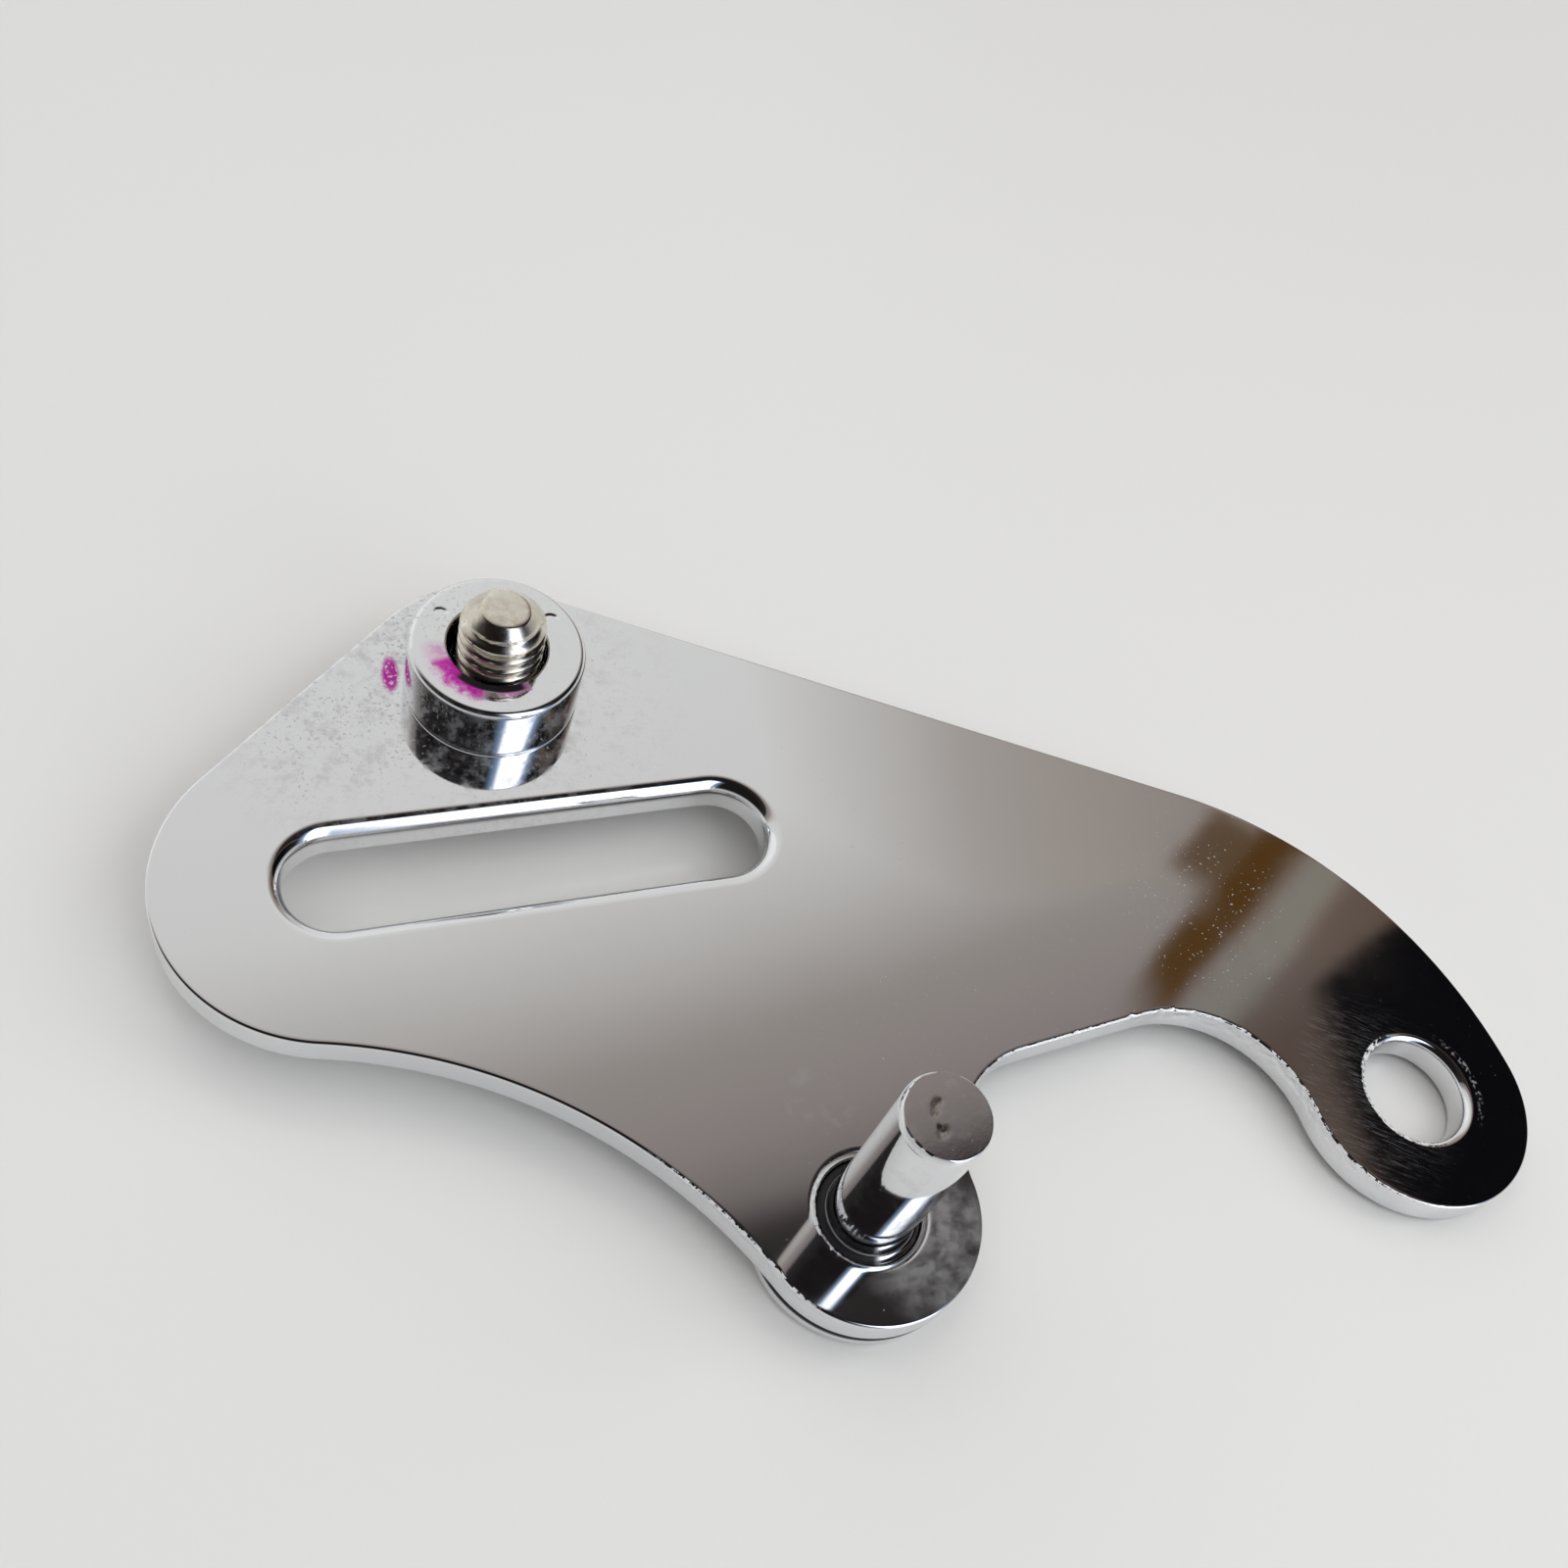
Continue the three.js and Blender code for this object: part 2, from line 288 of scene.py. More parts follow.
def inside(points, loop):
    """Whether each point is inside a closed loop."""
    x, y = points[:, 0], points[:, 1]
    result = np.zeros(len(points), bool)
    for a, b in zip(loop, np.roll(loop, -1, 0)):
        crosses = (a[1] > y) != (b[1] > y)
        with np.errstate(divide="ignore", invalid="ignore"):
            result ^= crosses & (x < (b[0] - a[0]) * (y - a[1]) / (b[1] - a[1]) + a[0])
    return result


# ---------------------------------------------------------------- plate

def edge_profile(top, bottom, wall_rows):
    """(inset, height) rows down one edge. top and bottom are (width, depth) of the rounding."""
    rows = [(top[0] + FLAT_MARGIN, PLATE_TOP)]
    for t in np.radians(np.linspace(0, 90, 13)):
        rows.append((top[0] * (1 - math.sin(t)), PLATE_TOP - top[1] * (1 - math.cos(t))))
    wall_top, wall_bottom = PLATE_TOP - top[1], PLATE_BOTTOM + bottom[1]
    for t in np.linspace(0, 1, wall_rows + 2)[1:-1]:
        rows.append((0.0, wall_top + (wall_bottom - wall_top) * t))
    for t in np.radians(np.linspace(90, 0, 7)):
        rows.append((bottom[0] * (1 - math.sin(t)), PLATE_BOTTOM + bottom[1] * (1 - math.cos(t))))
    rows.append((bottom[0] + FLAT_MARGIN, PLATE_BOTTOM))
    return rows


def torn_share(loop):
    """How torn the edge is at each point of the outline, from 0 to 1."""
    x, y = loop[:, 0], loop[:, 1]
    notch_side = ease(x, 16, 30) * ease(-y, -18.5, -17) * ease(-x, -66, -56)
    belly_side = ease(-x, 6, 9) * ease(x, -22, -15) * ease(-y, -11, -8)
    return np.maximum(notch_side, 0.5 * belly_side)


def plate_edge(loop, profile, torn):
    """Rows of points down an edge. Torn stretches are rough below the top rim."""
    normals = outward(loop)
    rows = []
    for inset, height in profile:
        depth = PLATE_TOP - height
        band = float(ease(depth, TORN_START, 0.7) * ease(-depth, -TORN_END, -1.7))
        nick = float(ease(-depth, -0.9, -0.2))
        row = np.zeros((len(loop), 3))
        for j, (p, n) in enumerate(zip(loop, normals)):
            extra = 0.0
            if torn[j] > 0.01 and rows:
                at = (p[0], p[1], height)
                grain = soft_noise(at, 1.7) + 0.6 * soft_noise(at, 3.3, 7.0)
                extra = torn[j] * band * (0.06 + 0.14 * grain)
                chip = soft_noise((p[0], p[1], 0.4 * height), 1.3, 31.0)
                extra += torn[j] * nick * 0.9 * max(chip - 0.3, 0.0)
            row[j, :2] = p - n * (inset + max(extra, 0.0))
            row[j, 2] = height
        rows.append(row)
    return rows


def plate_face(loops, height, spacing):
    """Triangles of a flat face between an outer loop and its holes, with inner points."""
    low, high = loops[0].min(0), loops[0].max(0)
    grid_x = np.arange(low[0], high[0], spacing)
    grid_y = np.arange(low[1], high[1], spacing * 0.87)
    points = np.array([
        (x + (spacing / 2 if j % 2 else 0), y)
        for j, y in enumerate(grid_y) for x in grid_x
    ])
    keep = inside(points, loops[0])
    for hole in loops[1:]:
        keep &= ~inside(points, hole)
    points = points[keep]
    for loop in loops:
        gap = np.full(len(points), 1e9)
        for a in loop:
            gap = np.minimum(gap, np.hypot(*(points - a).T))
        points = points[gap > spacing * 0.55]
    vertices = [Vector(p) for loop in loops for p in loop]
    edges, start = [], 0
    for loop in loops:
        count = len(loop)
        edges += [(start + i, start + (i + 1) % count) for i in range(count)]
        start += count
    vertices += [Vector(p) for p in points]
    flat, _, triangles, *_ = geometry.delaunay_2d_cdt(vertices, edges, [], 0, 1e-6)
    flat = np.array([tuple(v) for v in flat])
    centres = np.array([flat[list(t)].mean(0) for t in triangles])
    keep = inside(centres, loops[0])
    for hole in loops[1:]:
        keep &= ~inside(centres, hole)
    corners = np.array([flat[list(t)] for t in triangles])
    one, two = corners[:, 1] - corners[:, 0], corners[:, 2] - corners[:, 0]
    keep &= np.abs(one[:, 0] * two[:, 1] - one[:, 1] * two[:, 0]) > 1e-3
    faces = [tuple(t) for t, k in zip(triangles, keep) if k]
    return np.column_stack([flat, np.full(len(flat), height)]), faces


def build_plate():
    outline = plate_outline(0.3)
    rim = [(inset + OUTLINE_INSET, z) for inset, z in edge_profile(RIM_TOP, RIM_FOOT, 12)]
    openings = [
        (slot_loop(0.4), SLOT_MOUTH, OPENING_FOOT),
        (hole_loop(EYE, EYE_BORE, 0.35), EYE_MOUTH, OPENING_FOOT),
        (hole_loop(PIN, PIN_HOLE, 0.35), PIN_MOUTH, HOLE_FOOT),
        (hole_loop(SPACER, SPIGOT_HOLE, 0.6), SPIGOT_MOUTH, HOLE_FOOT),
    ]
    edges = [(outline, rim, torn_share(outline))]
    edges += [(loop, edge_profile(mouth, foot, 3), np.zeros(len(loop)))
              for loop, mouth, foot in openings]
    vertices, faces = [], []

    def add(part):
        start = sum(len(v) for v in vertices)
        vertices.append(part[0])
        faces.extend(tuple(start + i for i in face) for face in part[1])

    tops, bottoms = [], []
    for loop, profile, torn in edges:
        rows = plate_edge(loop, profile, torn)
        add(strips(rows))
        tops.append(rows[0][:, :2])
        bottoms.append(rows[-1][:, :2])
    add(plate_face(tops, PLATE_TOP, 1.5))
    add(plate_face(bottoms, PLATE_BOTTOM, 4.0))
    return make_piece(
        "bracket_plate", np.concatenate(vertices), faces,
        "plate", "side_plate", "plate_chrome", None)


# ---------------------------------------------------------------- turned pieces

def build_spacer():
    steps = 256
    top_round, bore_round, foot_round = 0.7, 0.25, 0.42
    land = np.linspace(SPACER_RADIUS - top_round, SPACER_BORE + bore_round, 22)
    profile = [(SPACER_BORE, PLATE_BOTTOM), (SPACER_SPIGOT, PLATE_BOTTOM),
               (SPACER_SPIGOT, SPACER_FOOT)]
    profile += round_over(SPACER_RADIUS - foot_round, SPACER_FOOT + foot_round, foot_round, -90, 0)
    profile += round_over(SPACER_RADIUS - top_round, SPACER_TOP - top_round, top_round, 0, 90, 10)
    profile += [(radius, SPACER_TOP) for radius in land[1:]]
    mouth = round_over(SPACER_BORE + bore_round, SPACER_TOP - bore_round, bore_round, 90, 180)
    profile += mouth[1:]
    profile += [(SPACER_BORE, PLATE_BOTTOM)]
    rows = turned(profile, SPACER, steps)
    punch_marks(rows)
    rows[..., :2] += SPACER_SHIFT * ease(rows[..., 2], PLATE_TOP, SPACER_FOOT)[..., None]
    return make_piece(
        "spacer_ring_chromed", *strips(rows), "plate", "spacer_ring", "spacer_chrome", 50)


def punch_marks(rows):
    """Stake marks pressed into the spacer's top face: two crescents and a group of nicks."""
    face = rows[..., 2] > SPACER_TOP - 0.02
    x, y = rows[..., 0] - SPACER[0], rows[..., 1] - SPACER[1]
    dent = np.zeros(rows.shape[:2])
    crescent_radius, crescent_width, crescent_depth, nick_depth = 0.85, 0.17, 0.14, 0.01
    for cx, cy, opening in ((-5.5, 4.7, 1.3), (6.6, 2.6, 1.4)):
        reach = np.hypot(x - cx, y - cy)
        angle = np.arctan2(y - cy, x - cx)
        turn = np.abs((angle - opening + math.pi) % (2 * math.pi) - math.pi)
        ridge = np.exp(-((reach - crescent_radius) / crescent_width) ** 2)
        dent += crescent_depth * ridge * ease(-turn, -1.1, -0.6)
    for k in range(4):
        cx, cy = -1.3 + 0.45 * k, -6.6 + 0.08 * k
        along = 0.35 * (1 if k % 2 else -1)
        across = (x - cx) - along * (y - cy)
        dent += nick_depth * np.exp(-(across / 0.11) ** 2 - ((y - cy) / 0.36) ** 2)
    rows[..., 2] -= np.where(face, dent, 0.0)


def build_pin():
    steps = 192
    head_round, chamfer, collar_round, fillet = 0.8, 0.15, 0.15, 0.8
    profile = [(0.0, 0.0), (4.0, 0.0), (8.0, 0.0)]
    profile += round_over(PIN_HEAD - head_round, head_round, head_round, -90, 0)
    profile += round_over(PIN_HEAD - head_round, PIN_HEAD_TOP - head_round, head_round, 0, 90)
    profile += [(PIN_COLLAR + 1.2, PIN_HEAD_TOP), (PIN_COLLAR, PIN_HEAD_TOP)]
    profile += round_over(
        PIN_COLLAR - collar_round, PIN_COLLAR_TOP - collar_round, collar_round, 0, 90, 4)
    profile += round_over(PIN_RADIUS + fillet, PIN_COLLAR_TOP + fillet, fillet, 270, 180)
    profile += [(PIN_RADIUS, z) for z in np.linspace(PIN_COLLAR_TOP + 2, PIN_TOP - 1.6, 12)]
    profile += [(PIN_RADIUS, PIN_TOP - 0.75), (PIN_RADIUS, PIN_TOP - chamfer)]
    profile += [(PIN_RADIUS - 0.05, PIN_TOP - 0.05), (PIN_RADIUS - chamfer, PIN_TOP)]
    profile += [(radius, PIN_TOP) for radius in np.linspace(PIN_RADIUS - 0.22, 0.0, 48)]
    rows = turned(profile, PIN, steps)
    dent_pin_end(rows)
    return make_piece("pivot_pin_chromed", *strips(rows), "pin", "pivot_pin", "pin_chrome", 50)


def dent_pin_end(rows):
    """Shallow dents and an unevenly worn rim on the end of the pin."""
    x, y = rows[..., 0], rows[..., 1]
    top = ease(rows[..., 2], PIN_TOP - 0.7, PIN_TOP - 0.15)
    shift = np.zeros(rows.shape[:2])
    dents = ((-0.75, 1.05, 1.0, 0.7, 0.4, 0.018), (-0.35, 1.4, 0.4, 0.4, 0.25, 0.012),
             (-0.8, -1.35, 0.5, 0.5, 0.35, 0.018), (-1.1, -1.0, 1.5, 0.4, 0.2, 0.012))
    for cx, cy, turn, length, wide, deep in dents:
        along = (x - cx) * math.cos(turn) + (y - cy) * math.sin(turn)
        across = -(x - cx) * math.sin(turn) + (y - cy) * math.cos(turn)
        shift -= deep * np.exp(-(along / length) ** 2 - (across / wide) ** 2)
    angle = np.arctan2(y, x)
    ripple = 0.03 * np.sin(angle * 5 + 2.0) + 0.02 * np.sin(angle * 9)
    wear = np.maximum(0.2 + 0.17 * np.cos(angle - 3.4) + ripple, 0.05)
    slope = 1.7
    shift -= slope * np.maximum(np.hypot(x, y) - (PIN_RADIUS - wear), 0.0)
    rows[..., 2] += top * shift


def build_washer():
    edge = 0.15
    profile = [(WASHER_INNER + edge, WASHER_BOTTOM)]
    profile += round_over(WASHER_OUTER - edge, WASHER_BOTTOM + edge, edge, -90, 0, 4)
    profile += round_over(WASHER_OUTER - edge, WASHER_TOP - edge, edge, 0, 90, 4)
    profile += round_over(WASHER_INNER + edge, WASHER_TOP - edge, edge, 90, 180, 4)
    profile += round_over(WASHER_INNER + edge, WASHER_BOTTOM + edge, edge, 180, 270, 4)
    return make_piece(
        "bolt_washer_plated", *strips(turned(profile, SPACER, 128)),
        "washer", "bolt_washer", "bolt_nickel", 50)


# ---------------------------------------------------------------- bolt

def thread_radius(angle, height):
    """Radius of a rolled thread with rounded crests and roots, which fades at the end cone."""
    turn = (height / THREAD_PITCH - angle / (2 * math.pi)) % 1.0
    wave = np.clip(1.25 * (2 * np.abs(turn - 0.5) - 0.5) + 0.5, 0, 1)
    wave = wave * wave * (3 - 2 * wave)
    thread = BOLT_RADIUS - THREAD_DEPTH * wave
    cone = BOLT_END + (BOLT_TOP - height)
    blend = 0.35
    share = np.clip(0.5 + 0.5 * (cone - thread) / blend, 0, 1)
    return cone * (1 - share) + thread * share - blend * share * (1 - share)


def hexagon_radius(angle):
    """Distance to the side of the head, with its corners eased."""
    sector = (angle + math.pi / 6) % (math.pi / 3) - math.pi / 6
    flat = HEAD_HALF_FLATS / np.cos(sector)
    return np.minimum(flat, HEAD_HALF_FLATS / math.cos(math.pi / 6) - 0.12)


def build_bolt():
    steps = 192
    angles = np.arange(steps) * 2 * math.pi / steps
    hexagon = hexagon_radius(angles)
    face_radius, cone_rise = HEAD_HALF_FLATS * 0.94, 0.58
    cone_height = HEAD_BOTTOM + (hexagon - face_radius) * cone_rise

    def ring(radius, height):
        radius, height = np.broadcast_to(radius, steps), np.broadcast_to(height, steps)
        return np.stack([SPACER[0] + radius * np.cos(angles),
                         SPACER[1] + radius * np.sin(angles), height], 1)

    rows = [ring(0.0, HEAD_BOTTOM + 0.25), ring(face_radius * 0.55, HEAD_BOTTOM + 0.22)]
    rows += [ring(face_radius * 0.62, HEAD_BOTTOM), ring(face_radius - 0.1, HEAD_BOTTOM)]
    rows += [ring(face_radius, HEAD_BOTTOM + 0.03)]
    rows += [ring(hexagon - 0.06, cone_height - 0.03), ring(hexagon, cone_height + 0.08)]
    rows += [ring(hexagon, z) for z in (-1.5, HEAD_TOP - 0.12)]
    rows += [ring(hexagon - 0.12, HEAD_TOP), ring(BOLT_RADIUS + 0.25, HEAD_TOP)]
    rows += [ring(BOLT_RADIUS, HEAD_TOP + 0.15)]
    for height in np.arange(HEAD_TOP + 0.5, BOLT_TOP - 0.02, THREAD_PITCH / 18):
        fade = float(ease(height, HEAD_TOP + 0.5, HEAD_TOP + 2.0))
        radius = thread_radius(angles, height)
        rows.append(ring(BOLT_RADIUS + (radius - BOLT_RADIUS) * fade, height))
    rows += [ring(BOLT_END - 0.08, BOLT_TOP)]
    rows += [ring(radius, BOLT_TOP) for radius in (2.1, 1.5, 0.9, 0.4, 0.0)]
    return make_piece(
        "hex_bolt_threaded", *strips(rows), "bolt", "hex_bolt", "bolt_nickel", 28)


# ---------------------------------------------------------------- material tools

class Graph:
    """A material's node tree, filled by short calls."""

    def __init__(self, name):
        self.material = bpy.data.materials.new(name)
        self.material.use_nodes = True
        self.tree = self.material.node_tree
        self.shader = self.tree.nodes["Principled BSDF"]
        self.place = self.add("ShaderNodeTexCoord").outputs["Object"]

    def add(self, kind, *inputs, **settings):
        node = self.tree.nodes.new(kind)
        for name, value in settings.items():
            setattr(node, name, value)
        for i, value in enumerate(inputs):
            if value is not None:
                self.put(node.inputs[i], value)
        return node

    def put(self, socket, value):
        if isinstance(value, bpy.types.NodeSocket):
            self.tree.links.new(value, socket)
        else:
            socket.default_value = value

    def math(self, operation, *inputs):
        return self.add("ShaderNodeMath", *inputs, operation=operation).outputs[0]

    def most(self, first, *others):
        for other in others:
            first = self.math("MAXIMUM", first, other)
        return first

    def step(self, value, low, high, to_low=0.0, to_high=1.0):
        """A smooth step of value from to_low at low to to_high at high."""
        node = self.add(
            "ShaderNodeMapRange", value, low, high, to_low, to_high,
            interpolation_type="SMOOTHSTEP")
        return node.outputs[0]

    def noise(self, scale, detail=2.0, roughness=0.5, stretch=None, turn=0.0, distortion=0.0):
        """Noise with about scale features a millimetre, stretched after a turn about Z."""
        place = self.place
        if stretch is not None:
            node = self.add("ShaderNodeMapping", place, vector_type="TEXTURE")
            node.inputs["Rotation"].default_value = (0, 0, turn)
            node.inputs["Scale"].default_value = stretch
            place = node.outputs[0]
        node = self.add("ShaderNodeTexNoise", place)
        node.inputs["Scale"].default_value = scale / MM
        node.inputs["Detail"].default_value = detail
        node.inputs["Roughness"].default_value = roughness
        node.inputs["Distortion"].default_value = distortion
        return node.outputs["Fac"]

    def near(self, x, y, z, radius, soft):
        """1 within radius of a point, and 0 from radius + soft outwards."""
        node = self.add("ShaderNodeVectorMath", self.place, operation="DISTANCE")
        node.inputs[1].default_value = (x * MM, y * MM, z * MM)
        return self.step(node.outputs["Value"], radius * MM, (radius + soft) * MM, 1.0, 0.0)

    def blot(self, x, y, z, across, along, turn=0.0, soft=0.5):
        """1 in an ellipse of half-widths across and along, fading to 0 soft outside it."""
        node = self.add("ShaderNodeMapping", self.place, vector_type="TEXTURE")
        node.inputs["Location"].default_value = (x * MM, y * MM, z * MM)
        node.inputs["Rotation"].default_value = (0, 0, turn)
        node.inputs["Scale"].default_value = (across * MM, along * MM, along * MM)
        reach = self.add("ShaderNodeVectorMath", node.outputs[0], operation="LENGTH")
        return self.step(reach.outputs["Value"], 1.0, 1.0 + soft, 1.0, 0.0)

    def polar(self, x, y):
        """Distance from the Z-parallel axis through (x, y) in mm, and angle from its -X side."""
        split = self.add("ShaderNodeSeparateXYZ", self.place).outputs
        across = self.math("SUBTRACT", x, self.math("DIVIDE", split[0], MM))
        up = self.math("SUBTRACT", y, self.math("DIVIDE", split[1], MM))
        squares = self.math("MULTIPLY_ADD", across, across, self.math("MULTIPLY", up, up))
        return self.math("SQRT", squares), self.math("ARCTAN2", up, across)

    def between(self, value, low, high, soft):
        """1 between low and high, and 0 from soft outside them."""
        return self.math("MULTIPLY", self.step(value, low - soft, low),
                         self.step(value, high, high + soft, 1.0, 0.0))

    def sector(self, turn, low, high, soft):
        """The same as between, for an angle in radians and limits in degrees."""
        return self.between(turn, math.radians(low), math.radians(high), math.radians(soft))

    def height(self):
        return self.add("ShaderNodeSeparateXYZ", self.place).outputs[2]

    def product(self, first, *others):
        for other in others:
            first = self.math("MULTIPLY", first, other)
        return first

    def colour(self, share, first, second):
        node = self.add("ShaderNodeMix", data_type="RGBA")
        self.put(node.inputs["Factor"], share)
        self.put(node.inputs["A"], first)
        self.put(node.inputs["B"], second)
        return node.outputs["Result"]

    def number(self, share, first, second):
        node = self.add("ShaderNodeMix", data_type="FLOAT")
        self.put(node.inputs["Factor"], share)
        self.put(node.inputs["A"], first)
        self.put(node.inputs["B"], second)
        return node.outputs["Result"]

    def bump(self, height, strength, distance):
        node = self.add("ShaderNodeBump")
        node.inputs["Strength"].default_value = strength
        node.inputs["Distance"].default_value = distance * MM
        self.put(node.inputs["Height"], height)
        self.put(self.shader.inputs["Normal"], node.outputs[0])

    def finish(self, **inputs):
        for name, value in inputs.items():
            self.put(self.shader.inputs[name.replace("_", " ")], value)
        return self.material


CHROME = (0.80, 0.805, 0.82, 1.0)
PIT = (0.42, 0.41, 0.40, 1.0)
MARKER = (0.55, 0.012, 0.38, 1.0)
# Painted shade for the hole and the seams round the pin.
PAINTED_GAP_SHADE = (0.012, 0.010, 0.012, 1.0)
DRIED_INK = (0.006, 0.004, 0.006, 1.0)
# Painted glints along the torn rims.
PAINTED_GLINT = (0.85, 0.85, 0.86, 1.0)
SIDE_BLUE = (0.20, 0.26, 0.40, 1.0)
SIDE_BROWN = (0.34, 0.31, 0.20, 1.0)
DENT_TINT = (0.42, 0.33, 0.28, 1.0)
NICKEL = (0.74, 0.70, 0.62, 1.0)
NICKEL_DULL = (0.60, 0.55, 0.46, 1.0)
NICKEL_DARK = (0.3, 0.27, 0.23, 1.0)


def plate_chrome():
    g = Graph("plate_chrome")
    grain = g.noise(2.2, 3.0, 0.6)
    clouds = g.noise(0.12, 3.0, 0.55)
    blotches = g.noise(0.55, 4.0, 0.65)
    # Etched specks and blotches, thickest to the left of the spacer ring.
    region = g.most(
        g.near(-42, 64, PLATE_TOP, 5, 12), g.near(-33, 77, PLATE_TOP, 5, 9),
        g.product(g.near(-24, 68, PLATE_TOP, 10, 16), 0.6))
    patchy = g.product(region, g.step(clouds, 0.32, 0.62, 0.35, 1.0))
    level = g.math("MULTIPLY_ADD", patchy, -0.17, 0.72)
    etched = g.step(g.math("SUBTRACT", grain, level), 0.0, 0.07)
    haze = g.product(region, g.step(blotches, 0.44, 0.68), 0.42)
    # Fine pale specks, strewn over the half towards the eye.
    dots = g.noise(2.6, 2.0, 0.5)
    strewn = g.most(
        g.near(52, 26, PLATE_TOP, 6, 16), g.product(g.near(25, 20, PLATE_TOP, 20, 30), 0.5))
    dot_level = g.math("MULTIPLY_ADD", strewn, -0.125, 0.80)
    specks = g.step(g.math("SUBTRACT", dots, dot_level), 0.0, 0.03)
    # Fine scratches beside the eye, and a rubbed ring round its bore.
    reach, turn = g.polar(EYE[0], EYE[1])
    beside = g.product(g.between(reach, 7.2, 13.0, 3.0), g.near(60, 1, PLATE_TOP, 6, 9))
    lines = g.noise(2.0, 3.0, 0.65, (0.2, 4.0, 1.0), 0.95, 0.3)
    scratch = g.product(beside, g.step(lines, 0.48, 0.7), 0.12)
    rubbed = g.product(g.between(reach, 7.8, 8.15, 0.3), g.step(grain, 0.5, 0.62),
                       g.step(g.math("ABSOLUTE", turn), 2.3, 2.8))
    # A rubbed ring round the pin, and film beside it.
    pin_reach, _ = g.polar(PIN[0], PIN[1])
    seat = g.product(g.between(pin_reach, 7.3, 8.1, 1.0), g.near(6, -6, PLATE_TOP, 4, 6),
                     g.step(blotches, 0.35, 0.6, 0.3, 1.0))
    fine = g.noise(0.5, 5.0, 0.7)
    rub = g.product(g.near(5.8, -5.5, PLATE_TOP, 4.6, 4.5), g.step(fine, 0.2, 0.85))
    film = g.product(g.near(-2, 11, PLATE_TOP, 1, 6), g.step(fine, 0.5, 0.8))
    scuff = g.most(scratch, g.product(rub, 0.42), g.product(film, 0.35), g.product(seat, 0.35))
    worn = g.most(g.product(etched, 0.55), haze, g.product(specks, 0.8), scuff,
                  g.product(rubbed, 0.4))
    # A streak of marker ink beside the spacer ring.
    ink = g.product(g.blot(-35.2, 70.9, PLATE_TOP, 0.6, 1.6, -0.12, 1.0),
                    g.step(grain, 0.34, 0.5, 0.25, 1.0))
    # Painted shade: dark colour on the wall of the pin's hole and in the seam over the pin's head,
    # where shade falls.
    level = g.height()
    seam = g.product(g.step(pin_reach, 12.3, 12.8, 1.0, 0.0),
                     g.step(level, 2.55 * MM, 2.85 * MM, 1.0, 0.0))
    painted_shade = g.most(seam, g.product(g.step(pin_reach, PIN_HOLE + 0.02, PIN_HOLE + 0.15, 1.0, 0.0),
                                   g.step(level, 5.45 * MM, 5.9 * MM, 1.0, 0.0)))
    base = g.colour(ink, g.colour(worn, CHROME, PIT), MARKER)
    base = g.colour(painted_shade, base, PAINTED_GAP_SHADE)
    # Painted glints: bright ticks along the torn rims, where burrs catch the light.
    torn = g.most(g.near(42, 0, 5, 24, 6), g.near(-13, 1, 5, 7, 6))
    ticks = g.product(torn, g.step(level, 5.7 * MM, 5.9 * MM),
                      g.step(level, 6.22 * MM, 6.25 * MM, 1.0, 0.0),
                      g.step(g.noise(1.5, 2.0, 0.6), 0.46, 0.52))
    base = g.colour(ticks, base, PAINTED_GLINT)
    metal = g.number(painted_shade, g.number(ink, g.number(worn, 1.0, 0.35), 0.3), 0.2)
    metal = g.number(ticks, metal, 0.3)
    dull_marks = g.product(g.most(ink, painted_shade, ticks), 0.45)
    rough = g.math("MAXIMUM", g.number(worn, 0.045, 0.5), dull_marks)
    rough = g.math("MULTIPLY_ADD", g.step(clouds, 0.4, 0.8), 0.03, rough)
    # The sheared walls are rough below the rim on the notch's side.
    sheared = g.product(g.between(level, 4.3 * MM, 5.9 * MM, 0.2 * MM),
                        g.near(42, 0, 5, 24, 6), g.noise(2.6, 3.0, 0.6))
    swell = g.math("ADD", g.noise(0.05, 1.0), g.product(worn, -0.02))
    g.bump(g.math("ADD", swell, sheared), 0.25, 0.12)
    return g.finish(Base_Color=base, Metallic=metal, Roughness=rough)


